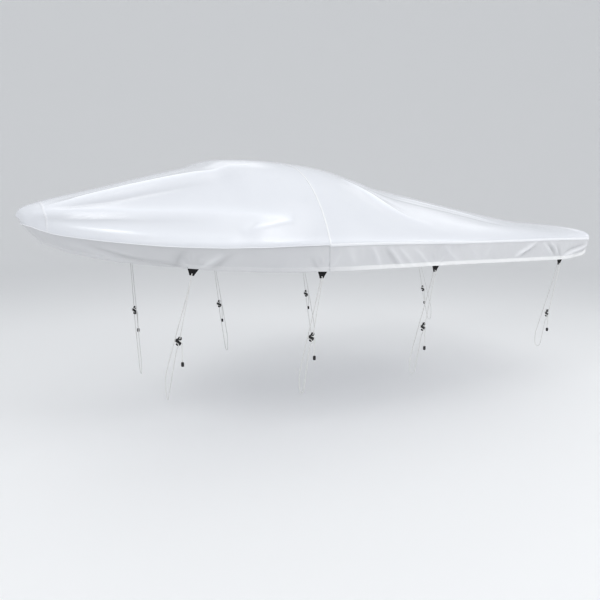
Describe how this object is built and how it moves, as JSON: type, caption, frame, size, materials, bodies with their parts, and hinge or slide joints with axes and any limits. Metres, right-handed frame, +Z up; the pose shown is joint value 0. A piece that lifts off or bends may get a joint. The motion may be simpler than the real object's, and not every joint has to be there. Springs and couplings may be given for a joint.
{
  "type": "boat cover",
  "caption": "Fitted cloth cover for an open boat, raised over the windscreen, with a sewn skirt, webbing tabs and corded tie-downs with cleats and beads.",
  "frame": {"origin": "the point under the top, on the centreline 1.60 m aft of the bow and at the top's highest part, where the boat's windscreen holds the cover up", "axes": "+X runs aft to the stern, -Y is the port side, +Z is up"},
  "size_m": [4.9, 2.1762, 1.7732],
  "materials": {
    "cover": "coated woven cloth, near white, with a soft sheen",
    "skirt": "coated woven cloth, pale grey",
    "binding": "coated tape, white",
    "webbing": "flat woven webbing, black",
    "cord": "braided cord, white",
    "cleat": "moulded plastic, black"
  },
  "bodies": {
    "root": {"bow_cap": "cover", "deck_panel": "cover", "cockpit_panel": "cover", "skirt_bow_port": "skirt", "skirt_bow_starboard": "skirt", "skirt_side_port": "skirt", "skirt_side_starboard": "skirt", "skirt_stern": "skirt", "binding_port": "binding", "binding_starboard": "binding", "piping_bow": "binding", "tab_port_1": "webbing", "cleat_port_1": "cleat", "cord_port_1": "cord", "bead_port_1": "cleat", "tab_port_2": "webbing", "cleat_port_2": "cleat", "cord_port_2": "cord", "bead_port_2": "cleat", "tab_port_3": "webbing", "cleat_port_3": "cleat", "cord_port_3": "cord", "bead_port_3": "cleat", "tab_port_4": "webbing", "cleat_port_4": "cleat", "cord_port_4": "cord", "bead_port_4": "cleat", "tab_starboard_1": "webbing", "cleat_starboard_1": "cleat", "cord_starboard_1": "cord", "bead_starboard_1": "cleat", "tab_starboard_2": "webbing", "cleat_starboard_2": "cleat", "cord_starboard_2": "cord", "bead_starboard_2": "cleat", "tab_starboard_3": "webbing", "cleat_starboard_3": "cleat", "cord_starboard_3": "cord", "bead_starboard_3": "cleat", "tab_starboard_4": "webbing", "cleat_starboard_4": "cleat", "cord_starboard_4": "cord", "bead_starboard_4": "cleat"}
  },
  "joints": []
}
